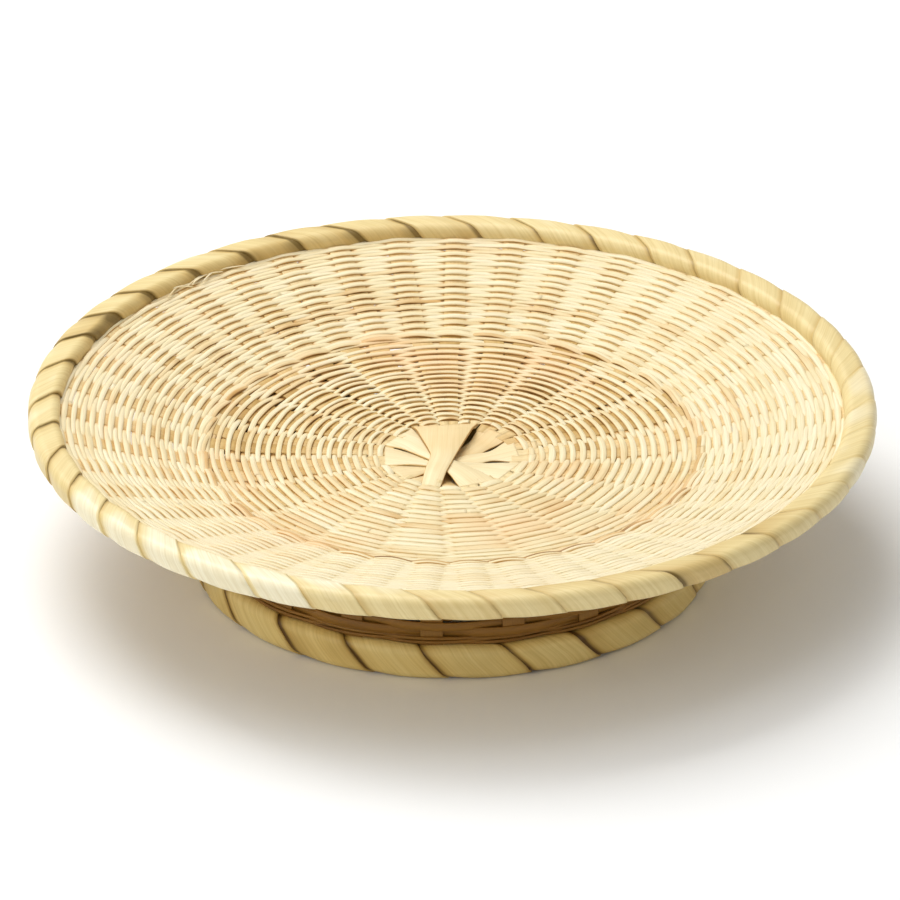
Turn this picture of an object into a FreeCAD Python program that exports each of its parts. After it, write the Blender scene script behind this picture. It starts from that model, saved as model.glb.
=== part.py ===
"""A footed bamboo winnowing tray: a shallow woven dish with a wrapped rim, on a woven foot ring.

Units are millimetres. +Z is up, and the origin is the middle of the foot's resting plane.
Each piece of bamboo, or each length of weft with its courses, is a solid of its own.
"""

import FreeCAD, Part
import math
import os

from FreeCAD import Vector

# Driving dimensions
OUTER_R = 150.0  # outside of the wrapped rim
RIM_HALF_WIDTH = 5.8
RIM_HALF_HEIGHT = 4.5
RIM_Z = 57.9  # middle of the rim's section
RIM_CORNER = 3.6

FLOOR_Z = 42.0  # middle of the woven floor's thickness
FLAT_R = 72.0  # the floor is flat inside this radius
CORNER_R = 88.5  # floor turns into wall here
CORNER_Z = 44.6
WALL_SLOPE = 0.2485  # rise of the wall for each unit of radius

FOOT_R = 87.6  # middle of the foot's wall
FOOT_BAND_HALF_WIDTH = 4.3
FOOT_BAND_HEIGHT = 13.0
FOOT_BAND_CORNER = 3.4

# Bamboo stock
STRIP_T = 0.8
WRAP_T = 0.8
FOOT_STAKE_W = 8.0
FOOT_STAKE_T = 0.9
WEFT_VALLEY = 1.0  # half thickness of the weave between two courses
WEFT_CREST = 1.35  # half thickness of the weave at a course
FIT_GAP = 0.1  # room that the weft leaves round a strip

# Counts
WALL_STAKES = 41  # odd, so that one running weft passes over and under by turns
FOOT_STAKES = 19
FLOOR_WEFTS = 4
RIDGES_PER_FLOOR_WEFT = 7  # one ridge to each course of weft
CORNER_RIDGES = 4  # from here outwards each ridge stands for two or three courses of finer weft
WALL_WEFTS = 3
RIDGES_PER_WALL_WEFT = 4
RIM_WRAP_STRIPS = 4
FOOT_WRAP_STRIPS = 4

# The crossing at the middle
HUB_R = 25.0  # the first course goes round here
HUB_FLAT_R = 19.0  # the stack of strips is level inside this radius
HUB_FOLD_R = 24.5  # and every strip is down on the floor from here
HUB_BEND = 4.0
STACK_PITCH = 0.85
STRIP_WAIST = 8.0  # a strip is cut this narrow where it crosses the others
CROSSING = (-3.2, -3.8)  # the strips cross a little away from the middle
FIRST_STAKE_DEG = 67.6  # where the top strip's first stake begins on the wall
UNSPLIT_TINE = 3  # the one floor tine that goes up the wall whole
# The head and the tail of each through strip, top strip first. For each end: its first tine, its number
# of tines, and the angles between which it leaves the hub. The strips are laid by hand, so these vary.
STRIP_ENDS = (
    ((0, 3, 67.6, 118.0), (11, 1, 243.0, 261.0)),
    ((4, 2, 124.0, 163.0), (13, 2, 275.0, 310.0)),
    ((6, 2, 163.0, 199.0), (15, 2, 310.0, 347.5)),
    ((8, 2, 199.0, 230.0), (17, 2, 347.5, 393.0)),
    ((10, 1, 230.0, 243.0), (19, 2, 393.0, 427.6)),
    ((3, 1, 118.0, 124.0), (12, 1, 261.0, 275.0)),
)

# Strips after they fork
TINE_START_R = 23.5
TINE_GAP = 0.9  # between neighbouring tines at the hub
FORK_R = 78.0  # a floor tine splits in two here
FORKED_R = 92.0  # and its halves are evenly spread from here
UNSPLIT_FULL_R = 60.0
STAKE_W = 7.6  # half of a floor tine where it splits
STRIP_END_R = 147.0

FLAT_BEND = 60.0
CORNER_BEND = 30.0
CORNER_WEFT_START_R = 75.0
WALL_WEFT_START_R = 90.5
WALL_WEFT_END_R = 138.2

# Foot
TWINED_COURSES = 2
TWINED_H = 2.9
RIDGES_PER_FOOT_WEFT = 5
FOOT_WEFTS = 2
FOOT_WEAVE_TOP = 42.6
FOOT_STAKE_BOTTOM = 2.0
FOOT_STAKE_TOP = 43.6  # pushed this far up into the underside of the corner weave
FOOT_SLOT_HALF = 0.6  # half the room for stakes between the two hoops
FOOT_MOUTH_DEPTH = 2.0  # how deep the stakes' way in is cut through the wrapping

# The stakes' way in through the rim's wrapping, inward of the middle of the rim
MOUTH_START = 8.0
MOUTH_END = 3.0

TALL = 80.0  # taller than anything, for cutting tools
WIDE = 220.0  # and wider than anything
OVERLAP = 1.0  # how far a cutting tool or a joined piece goes past the face it meets
PAST_RIM_R = 153.0
WALL_STEP = 360.0 / WALL_STAKES
FAN_GAP = 0.65  # degrees left free at each side of a strip's end
UP = Vector(0, 0, 1)
ORIGIN = Vector(0, 0, 0)


class Path:
    """A line of straight runs joined by tangent arcs in the radius-height plane."""

    def __init__(self, corners, bends):
        """bends holds one radius for each inner corner."""
        self.runs = []
        here = corners[0]
        for i, bend in enumerate(bends, start=1):
            before, corner, after = corners[i - 1], corners[i], corners[i + 1]
            a_in = math.atan2(corner[1] - before[1], corner[0] - before[0])
            a_out = math.atan2(after[1] - corner[1], after[0] - corner[0])
            turn = a_out - a_in
            side = 1.0 if turn > 0 else -1.0
            tangent = bend * math.tan(abs(turn) / 2)
            start = (corner[0] - tangent * math.cos(a_in), corner[1] - tangent * math.sin(a_in))
            end = (corner[0] + tangent * math.cos(a_out), corner[1] + tangent * math.sin(a_out))
            self._line(here, start)
            centre = (start[0] - side * bend * math.sin(a_in), start[1] + side * bend * math.cos(a_in))
            self.runs.append(("arc", centre, bend, a_in, turn, bend * abs(turn)))
            here = end
        self._line(here, corners[-1])
        self.length = sum(run[-1] for run in self.runs)

    def _line(self, p, q):
        length = math.hypot(q[0] - p[0], q[1] - p[1])
        heading = math.atan2(q[1] - p[1], q[0] - p[0])
        self.runs.append(("line", p, heading, length))

    def at(self, s, offset=0.0):
        """The point at distance s, moved by offset to the left of the path."""
        s = min(max(s, 0.0), self.length)
        for run in self.runs:
            if s <= run[-1] + 1e-9 or run is self.runs[-1]:
                break
            s -= run[-1]
        if run[0] == "line":
            _, p, heading, _ = run
            x, y = p[0] + s * math.cos(heading), p[1] + s * math.sin(heading)
        else:
            _, centre, bend, a_in, turn, _ = run
            side = 1.0 if turn > 0 else -1.0
            heading = a_in + side * s / bend
            x = centre[0] + side * bend * math.sin(heading)
            y = centre[1] - side * bend * math.cos(heading)
        return Vector(x - offset * math.sin(heading), 0, y + offset * math.cos(heading))

    def distance_to(self, radius):
        """The distance along the path at which it reaches a radius."""
        low, high = 0.0, self.length
        for _ in range(60):
            middle = (low + high) / 2
            if self.at(middle).x < radius:
                low = middle
            else:
                high = middle
        return low

    def edges(self, start, end, offset):
        """The path's own lines and arcs from start to end, at an offset."""
        made, s = [], 0.0
        for run in self.runs:
            a, b = max(start, s), min(end, s + run[-1])
            s += run[-1]
            if b - a < 1e-6:
                continue
            if run[0] == "line":
                made.append(Part.LineSegment(self.at(a, offset), self.at(b, offset)).toShape())
            else:
                middle = self.at((a + b) / 2, offset)
                made.append(Part.Arc(self.at(a, offset), middle, self.at(b, offset)).toShape())
        return made


def revolved(edges):
    """The closed outline turned once round the Z axis."""
    wire = Part.Wire(Part.__sortEdges__(edges))
    solid = Part.Face(wire).revolve(ORIGIN, UP, 360)
    return Part.Solid(solid) if solid.ShapeType != "Solid" else solid


def layer(path, start, end, low, high):
    """A sheet of revolution between two offsets of a path."""
    sides = [
        Part.LineSegment(path.at(start, low), path.at(start, high)).toShape(),
        Part.LineSegment(path.at(end, low), path.at(end, high)).toShape(),
    ]
    return revolved(path.edges(start, end, low) + path.edges(start, end, high) + sides)


def ridges(path, start, end, count):
    """A woven band with round ridges running round it, on both faces."""
    edges = []
    step = (end - start) / count
    for side in (-1.0, 1.0):
        for i in range(count):
            a, b = start + i * step, start + (i + 1) * step
            crest = path.at((a + b) / 2, side * WEFT_CREST)
            edges.append(
                Part.Arc(path.at(a, side * WEFT_VALLEY), crest, path.at(b, side * WEFT_VALLEY)).toShape()
            )
    for s in (start, end):
        edges.append(Part.LineSegment(path.at(s, -WEFT_VALLEY), path.at(s, WEFT_VALLEY)).toShape())
    return revolved(edges)


def polar(radius, degrees, sideways=0.0):
    """A point at a radius and an angle, moved sideways from that spoke."""
    a = math.radians(degrees)
    return Vector(
        radius * math.cos(a) - sideways * math.sin(a), radius * math.sin(a) + sideways * math.cos(a), 0
    )


def prism(points):
    """An upright prism over a polygon, tall enough to cut anything."""
    return Part.Face(Part.makePolygon(points + points[:1])).extrude(Vector(0, 0, TALL))


def straight(r_in, deg_in, half_in, r_out, deg_out, half_out):
    """The plan of one straight tapering strip from an inner to an outer place."""
    return prism(
        [
            polar(r_in, deg_in, -half_in),
            polar(r_out, deg_out, -half_out),
            polar(r_out, deg_out, half_out),
            polar(r_in, deg_in, half_in),
        ]
    )


def fused(shapes):
    """One clean solid from several that overlap."""
    return shapes[0].multiFuse(shapes[1:]).removeSplitter()


def first_stake(tine):
    """The number of wall stakes that come before a floor tine, counted round from the first tine."""
    return 2 * tine - (1 if tine > UNSPLIT_TINE else 0)


def tine_stakes(tine):
    """The angles of the wall stakes that a floor tine splits into."""
    number = 1 if tine == UNSPLIT_TINE else 2
    return [FIRST_STAKE_DEG + WALL_STEP * (first_stake(tine) + i + 0.5) for i in range(number)]


def crossing_plan(strip, grow):
    """The waisted middle of a strip, from its head to its tail."""
    ends = [((low + high) / 2, (high - low) / 2 - FAN_GAP) for _, _, low, high in STRIP_ENDS[strip]]
    head, tail = (polar(HUB_FLAT_R, middle) for middle, _ in ends)
    along = (head - tail).normalize()
    side = Vector(-along.y, along.x, 0) * (STRIP_WAIST / 2 + grow)
    corners = []
    for (middle, half), waist in zip(ends, (side, -side)):
        corners += [
            polar(HUB_FLAT_R, middle - half, -grow),
            polar(HUB_R, middle - half, -grow),
            polar(HUB_R, middle),
            polar(HUB_R, middle + half, grow),
            polar(HUB_FLAT_R, middle + half, grow),
            Vector(*CROSSING, 0) + waist,
        ]
    return prism(corners)


def tine_plan(tine, hub_deg, hub_step, grow):
    """A floor tine, from its place at the hub, and the wall stakes that it splits into."""
    stakes = tine_stakes(tine)
    middle = sum(stakes) / len(stakes)
    in_half = math.radians(hub_step) * HUB_R / 2 - TINE_GAP / 2 + grow
    side = STAKE_W / 2 + grow
    end_r = STRIP_END_R + grow
    if tine == UNSPLIT_TINE:
        return [
            straight(TINE_START_R, hub_deg, in_half, UNSPLIT_FULL_R, middle, side),
            straight(UNSPLIT_FULL_R - OVERLAP, middle, side, end_r, middle, side),
        ]
    pieces = [straight(TINE_START_R, hub_deg, in_half, FORK_R + OVERLAP, middle, STAKE_W + grow)]
    turn = math.degrees(STAKE_W / 2 / FORK_R)
    for angle, start in zip(stakes, (middle - turn, middle + turn)):
        pieces.append(straight(FORK_R, start, side, FORKED_R, angle, side))
        pieces.append(straight(FORKED_R - OVERLAP, angle, side, end_r, angle, side))
    return pieces


def strip_plan(strip, grow=0.0):
    """A through strip seen from above: its ends fork on the floor and again at the wall."""
    pieces = [crossing_plan(strip, grow)]
    for first, number, low, high in STRIP_ENDS[strip]:
        step = (high - low) / number
        for i in range(number):
            pieces += tine_plan(first + i, low + (i + 0.5) * step, step, grow)
    return fused(pieces)


def tray_path(hub_z=FLOOR_Z):
    """The tray's mid surface, from the axis to past the rim, with the hub at its own level."""
    corners = [(0.0, hub_z), (HUB_FLAT_R, hub_z), (HUB_FOLD_R, FLOOR_Z), (FLAT_R, FLOOR_Z)]
    bends = [HUB_BEND, HUB_BEND, FLAT_BEND]
    if abs(hub_z - FLOOR_Z) < 1e-6:
        corners, bends = [(0.0, FLOOR_Z), (FLAT_R, FLOOR_Z)], [FLAT_BEND]
    corners += [(CORNER_R, CORNER_Z), (PAST_RIM_R, CORNER_Z + (PAST_RIM_R - CORNER_R) * WALL_SLOPE)]
    return Path(corners, bends + [CORNER_BEND])


def through_strip(strip):
    """One long strip, from rim to rim, at its own level in the stack at the hub."""
    level = FLOOR_Z + ((len(STRIP_ENDS) - 1) / 2 - strip) * STACK_PITCH
    path = tray_path(level)
    sheet = layer(path, 0.0, path.length, -STRIP_T / 2, STRIP_T / 2)
    return sheet.common(strip_plan(strip))


def tunnels(path, start, end):
    """The room that the strips take inside a band of weave, past both of its edges."""
    half = STRIP_T / 2 + FIT_GAP
    sheet = layer(path, start - OVERLAP, end + OVERLAP, -half, half)
    return [sheet.common(strip_plan(i, FIT_GAP)) for i in range(len(STRIP_ENDS))]


def foot_stake(index, grow=0.0):
    """A flat upright strip in the foot's wall."""
    width, thick = FOOT_STAKE_W + 2 * grow, FOOT_STAKE_T + 2 * grow
    box = Part.makeBox(
        thick,
        width,
        FOOT_STAKE_TOP - FOOT_STAKE_BOTTOM + 2 * grow,
        Vector(FOOT_R - thick / 2, -width / 2, FOOT_STAKE_BOTTOM - grow),
    )
    box.rotate(ORIGIN, UP, foot_stake_angle(index))
    return box


def foot_stake_angle(index):
    return index * 360.0 / FOOT_STAKES


def tray_weave():
    """The tray's weft as named bands, each with room for the strips and the tops of the foot stakes."""
    path = tray_path()
    radii = [HUB_R + i * (CORNER_WEFT_START_R - HUB_R) / FLOOR_WEFTS for i in range(FLOOR_WEFTS + 1)]
    bands = {}
    for i in range(FLOOR_WEFTS):
        bands[f"floor_weft_{i + 1}"] = (radii[i], radii[i + 1], RIDGES_PER_FLOOR_WEFT)
    bands["corner_weft"] = (CORNER_WEFT_START_R, WALL_WEFT_START_R, CORNER_RIDGES)
    step = (WALL_WEFT_END_R - WALL_WEFT_START_R) / WALL_WEFTS
    for i in range(WALL_WEFTS):
        start = WALL_WEFT_START_R + i * step
        bands[f"wall_weft_{i + 1}"] = (start, start + step, RIDGES_PER_WALL_WEFT)
    sockets = [foot_stake(i, FIT_GAP / 2) for i in range(FOOT_STAKES)]
    made = {}
    for name, (r_in, r_out, count) in bands.items():
        start, end = path.distance_to(r_in), path.distance_to(r_out)
        room = tunnels(path, start, end)
        if name == "corner_weft":
            room += sockets
        made[name] = ridges(path, start, end, count).cut(Part.makeCompound(room))
    return made


def foot_weave():
    """The foot's wall: a twined start, then bands of wider weft."""
    path = Path([(FOOT_R, FOOT_BAND_HEIGHT + FIT_GAP), (FOOT_R, FOOT_WEAVE_TOP)], [])
    stakes = Part.makeCompound([foot_stake(i, FIT_GAP) for i in range(FOOT_STAKES)])
    step = (path.length - TWINED_H) / FOOT_WEFTS
    bands = [("foot_twining", 0.0, TWINED_H, TWINED_COURSES)]
    for i in range(FOOT_WEFTS):
        start = TWINED_H + i * step
        bands.append((f"foot_weft_{i + 1}", start, start + step, RIDGES_PER_FOOT_WEFT))
    return {name: ridges(path, a, b, count).cut(stakes) for name, a, b, count in bands}


def rounded_ring(middle_r, middle_z, half_width, half_height, corner):
    """A ring whose section is a rectangle with rounded corners."""
    edges = []
    for quarter, (sx, sz) in enumerate(((1, 1), (-1, 1), (-1, -1), (1, -1))):
        centre = Vector(
            middle_r + sx * (half_width - corner), 0, middle_z + sz * (half_height - corner)
        )
        points = []
        for part in (0.0, 0.5, 1.0):
            a = math.radians(90 * (quarter + part))
            points.append(centre + Vector(corner * math.cos(a), 0, corner * math.sin(a)))
        if edges:
            edges.append(Part.LineSegment(last, points[0]).toShape())
        else:
            first = points[0]
        edges.append(Part.Arc(*points).toShape())
        last = points[2]
    edges.append(Part.LineSegment(last, first).toShape())
    return revolved(edges)


def sector(start, sweep):
    """A wedge of the space round the Z axis."""
    arc = [polar(WIDE, start + sweep * i / 4) for i in range(5)]
    return prism([ORIGIN] + arc)


def arcs(ring, count, name):
    """A ring as equal lengths of strip, end to end."""
    sweep = 360.0 / count
    return {f"{name}_{i + 1}": ring.common(sector(i * sweep, sweep)) for i in range(count)}


def rim():
    """Two half-round hoops with the strip ends between them, bound by the wrapping strips."""
    middle_r = OUTER_R - RIM_HALF_WIDTH
    path = tray_path()
    gap = STRIP_T / 2 + FIT_GAP
    mouth_start = path.distance_to(middle_r - MOUTH_START)

    def ring(inset):
        return rounded_ring(
            middle_r, RIM_Z, RIM_HALF_WIDTH - inset, RIM_HALF_HEIGHT - inset, RIM_CORNER - inset
        )

    core = ring(WRAP_T + FIT_GAP / 2).cut(layer(path, mouth_start, path.length, -gap, gap))
    halves = sorted(core.Solids, key=lambda s: s.CenterOfMass.z)
    made = {"rim_lower_hoop": halves[0], "rim_upper_hoop": halves[-1]}
    mouth = layer(path, mouth_start, path.distance_to(middle_r - MOUTH_END), -gap, gap)
    shell = ring(0.0).cut(ring(WRAP_T)).cut(mouth)
    made.update(arcs(shell, RIM_WRAP_STRIPS, "rim_wrap"))
    return made


def foot_band():
    """Two hoops either side of the stake ends at the foot's base, bound by the wrapping strips."""
    half_height = FOOT_BAND_HEIGHT / 2

    def ring(inset):
        half_width = FOOT_BAND_HALF_WIDTH - inset
        return rounded_ring(FOOT_R, half_height, half_width, half_height - inset, FOOT_BAND_CORNER - inset)

    def slot(low_z, high_z):
        wide = Part.makeCylinder(FOOT_R + FOOT_SLOT_HALF, high_z - low_z, Vector(0, 0, low_z))
        return wide.cut(Part.makeCylinder(FOOT_R - FOOT_SLOT_HALF, high_z - low_z, Vector(0, 0, low_z)))

    halves = ring(WRAP_T + FIT_GAP / 2).cut(slot(0.0, FOOT_BAND_HEIGHT)).Solids
    halves.sort(key=lambda s: s.BoundBox.XMax)
    made = {"foot_inner_hoop": halves[0], "foot_outer_hoop": halves[-1]}
    mouth = slot(FOOT_BAND_HEIGHT - FOOT_MOUTH_DEPTH, FOOT_BAND_HEIGHT + OVERLAP)
    shell = ring(0.0).cut(ring(WRAP_T)).cut(mouth)
    made.update(arcs(shell, FOOT_WRAP_STRIPS, "foot_wrap"))
    return made


def all_parts():
    parts = {f"through_strip_{i + 1}": through_strip(i) for i in range(len(STRIP_ENDS))}
    parts.update(tray_weave())
    parts.update(rim())
    for i in range(FOOT_STAKES):
        parts[f"foot_stake_{i + 1:02d}"] = foot_stake(i)
    parts.update(foot_weave())
    parts.update(foot_band())
    return parts


def main():
    os.makedirs("parts", exist_ok=True)
    for old in os.listdir("parts"):
        os.remove(os.path.join("parts", old))
    for name, shape in all_parts().items():
        solids = shape.Solids
        whole = solids[0] if len(solids) == 1 else Part.makeCompound(solids)
        whole.exportStep(f"parts/{name}.step")
        box = whole.BoundBox
        print(
            f"{name}: {len(solids)} solid, valid {whole.isValid()}, {whole.Volume:.0f} mm3, "
            f"x {box.XMin:.1f}..{box.XMax:.1f}, z {box.ZMin:.2f}..{box.ZMax:.2f}"
        )


main()
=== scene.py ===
"""The looks of the footed bamboo tray: its stakes, courses of weft and wrappings as single splints.

Lengths are in millimetres while a shape is worked out, and in metres once it is a mesh. Angles are in
degrees round the tray from the right, so the near side is at 270. A tone is a place on a material's
ramp of colours, from 0, the palest, to 1.
"""

import math

import bmesh
import bpy
import numpy as np
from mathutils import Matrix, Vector


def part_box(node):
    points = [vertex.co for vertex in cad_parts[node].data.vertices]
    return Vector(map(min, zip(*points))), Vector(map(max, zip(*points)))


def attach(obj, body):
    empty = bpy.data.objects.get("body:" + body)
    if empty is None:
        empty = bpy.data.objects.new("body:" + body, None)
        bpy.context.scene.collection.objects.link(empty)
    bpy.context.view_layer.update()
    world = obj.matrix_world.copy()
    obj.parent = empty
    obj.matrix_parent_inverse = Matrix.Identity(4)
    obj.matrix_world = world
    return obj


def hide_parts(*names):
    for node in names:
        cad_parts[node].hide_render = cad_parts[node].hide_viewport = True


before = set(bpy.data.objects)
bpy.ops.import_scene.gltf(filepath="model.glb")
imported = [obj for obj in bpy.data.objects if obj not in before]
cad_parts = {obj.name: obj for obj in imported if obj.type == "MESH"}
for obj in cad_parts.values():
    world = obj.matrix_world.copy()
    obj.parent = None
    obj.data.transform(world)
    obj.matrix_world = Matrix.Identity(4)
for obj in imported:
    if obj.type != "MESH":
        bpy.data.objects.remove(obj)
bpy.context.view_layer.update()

MM = 0.001
SEED = 41


def span(node):
    """A CAD node's lowest and highest corners, in millimetres."""
    low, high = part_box(node)
    return np.array(low) / MM, np.array(high) / MM


# Sizes read from the frame, and a few of the CAD's own sizes that no box shows
RIM_LOW, RIM_HIGH = span("rim_wrap_1")
FOOT_HIGH = span("foot_wrap_1")[1]
FLOOR_Z = (span("floor_weft_1")[0][2] + span("floor_weft_1")[1][2]) / 2
HUB_R = 25.0
FLOOR_BANDS = [HUB_R] + [span(f"floor_weft_{i}")[1][0] for i in (1, 2, 3, 4)]
WALL_BANDS = [span("corner_weft")[1][0]] + [span(f"wall_weft_{i}")[1][0] for i in (1, 2, 3)]
RIM_OUT_R = RIM_HIGH[0]
RIM_Z = (RIM_LOW[2] + RIM_HIGH[2]) / 2
RIM_HALF_H = (RIM_HIGH[2] - RIM_LOW[2]) / 2
RIM_HALF_W = 5.8
RIM_CORNER = 3.6
FOOT_BAND_H = FOOT_HIGH[2]
FOOT_HALF_W = 4.3
FOOT_CORNER = 3.4
FOOT_R = FOOT_HIGH[0] - FOOT_HALF_W

# The tray's mid surface is level, then rises gently to the corner, then runs straight up the wall
SLOPE_RADII = [67.3, 76.7, 87.2, 89.8]
SLOPES = [0.0, 0.1576, 0.1576, 0.2485]

# Numbers and places of stakes, as in the CAD
WALL_STAKES = 41
WALL_STEP = 360.0 / WALL_STAKES
FLOOR_TINES = 21
UNSPLIT_TINE = 3
FIRST_STAKE_DEG = 67.6
FOOT_STAKES = 19
# The head and the tail of each strip, as its first tine, its number of tines, and the angles between
# which it leaves the hub
STRIP_ENDS = (
    ((0, 3, 67.6, 118.0), (11, 1, 243.0, 261.0)),
    ((4, 2, 124.0, 163.0), (13, 2, 275.0, 310.0)),
    ((6, 2, 163.0, 199.0), (15, 2, 310.0, 347.5)),
    ((8, 2, 199.0, 230.0), (17, 2, 347.5, 393.0)),
    ((10, 1, 230.0, 243.0), (19, 2, 393.0, 427.6)),
    ((3, 1, 118.0, 124.0), (12, 1, 261.0, 275.0)),
)
TINE_START_R = 21.0
FORK_R = 78.0
FORKED_R = 92.0
STAKE_END_R = 147.0
STAKE_W = 7.6
# Where each strip crosses the others, how wide it is there, and to which share of its width it is
# pinched on the way to its head and to its tail
STRIP_WAY = (
    ((-3.2, -3.8), 8.6, (1.0, 1.0)),
    ((-3.2, -6.3), 5.5, (0.96, 0.96)),
    ((-3.2, -7.8), 5.0, (0.78, 0.68)),
    ((-3.2, -7.4), 5.0, (0.68, 0.52)),
    ((-2.3, -7.6), 4.8, (0.68, 0.82)),
    ((-3.2, -6.0), 4.0, (0.85, 0.85)),
)
PINCH_R = 13.0
PINCH_LENGTH = 5.5
# The tone of each strip's head and tail
STRIP_TONES = ((0.62, 0.25), (0.02, 0.30), (0.1, 0.1), (0.45, 0.30), (0.5, 0.70), (0.7, 0.8))
TOP_HEAD_LEFT_DEG = 125.0
HUB_GAP_DEG = 0.8
STACK_PITCH = 0.85
STRIP_HALF_T = 0.4

# Weft
FLOOR_PITCH = 1.8
FLOOR_END_R = 86.9
TWINED_R = 87.7
TWINED_PITCH = 1.1
WALL_START_R = 88.6
WALL_PITCH = 1.64
UNDER_RIM = 0.9
FLOOR_CREST = 0.82
WALL_CREST = 0.80
WEFT_HALF_W = 0.93
WEFT_HALF_T = 0.50
COURSE_DRIFT = 0.07
SHORTEST_DEG = 60.0
# The part of the way out along which the weave changes from the floor's to the wall's
CORNER_WAY = (84.0, 95.0)

RADII = np.linspace(0.0, 160.0, 3201)
HEIGHTS = FLOOR_Z + np.concatenate(
    ([0.0], np.cumsum(np.interp((RADII[1:] + RADII[:-1]) / 2, SLOPE_RADII, SLOPES) * np.diff(RADII)))
)


def smooth(x, low, high):
    """0 below low, 1 above high and an even curve between."""
    t = np.clip((np.asarray(x, float) - low) / (high - low), 0, 1)
    return t * t * (3 - 2 * t)


def turn_from(degrees, middle):
    """The angle from a middle direction, between -180 and 180."""
    return (degrees - middle + 180.0) % 360.0 - 180.0


def bump(degrees, middle, spread):
    """1 at a middle direction, which fades over the spread to both sides."""
    return np.exp(-((turn_from(degrees, middle) / spread) ** 2))


def wander(rng, x, size, wavelength):
    """Smooth random drift along x."""
    x = np.asarray(x, float)
    start = x.min()
    knots = rng.normal(0, size, int((x.max() - start) / wavelength) + 3)
    place = (x - start) / wavelength
    low = place.astype(int)
    t = place - low
    t = t * t * (3 - 2 * t)
    return knots[low] * (1 - t) + knots[low + 1] * t


def tray_point(radius, degrees, lift=0.0, sideways=0.0):
    """Points on the tray's mid surface, and the unit vectors up its slope, round it and out of it."""
    a = np.radians(degrees)
    tilt = np.arctan(np.interp(radius, SLOPE_RADII, SLOPES))
    out = np.stack([np.cos(a), np.sin(a), np.zeros_like(a)], -1)
    around = np.stack([-np.sin(a), np.cos(a), np.zeros_like(a)], -1)
    up = np.array([0.0, 0.0, 1.0])
    along = out * np.cos(tilt)[:, None] + up * np.sin(tilt)[:, None]
    normal = -out * np.sin(tilt)[:, None] + up * np.cos(tilt)[:, None]
    centre = out * np.asarray(radius)[:, None] + up * np.interp(radius, RADII, HEIGHTS)[:, None]
    centre = centre + normal * np.broadcast_to(lift, radius.shape)[:, None]
    centre = centre + around * np.broadcast_to(sideways, radius.shape)[:, None]
    return centre, along, around, normal


def superellipse(count, power):
    """Points round a rounded section that is 2 wide and 2 high."""
    a = np.arange(count) * 2 * math.pi / count + math.pi / count
    c, s = np.cos(a), np.sin(a)
    return np.stack([np.sign(c) * abs(c) ** (2 / power), np.sign(s) * abs(s) ** (2 / power)], -1)


ROUND = superellipse(8, 2.3)
FLAT = np.array(
    [(-1, -0.4), (-0.93, -1), (0, -1.04), (0.93, -1), (1, -0.4)]
    + [(1, 0.4), (0.93, 1), (0, 1.04), (-0.93, 1), (-1, 0.4)]
)
DOMED = np.array(
    [(-1, -0.40), (-0.86, -0.88), (0, -1.06), (0.86, -0.88), (1, -0.40)]
    + [(1, 0.40), (0.86, 0.88), (0, 1.06), (-0.86, 0.88), (-1, 0.40)]
)


# The outer part of a section's half width that painted edge shade darkens, where a strip meets its
# neighbours
EDGE_SHADE_PART = (0.94, 1.0)


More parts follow.
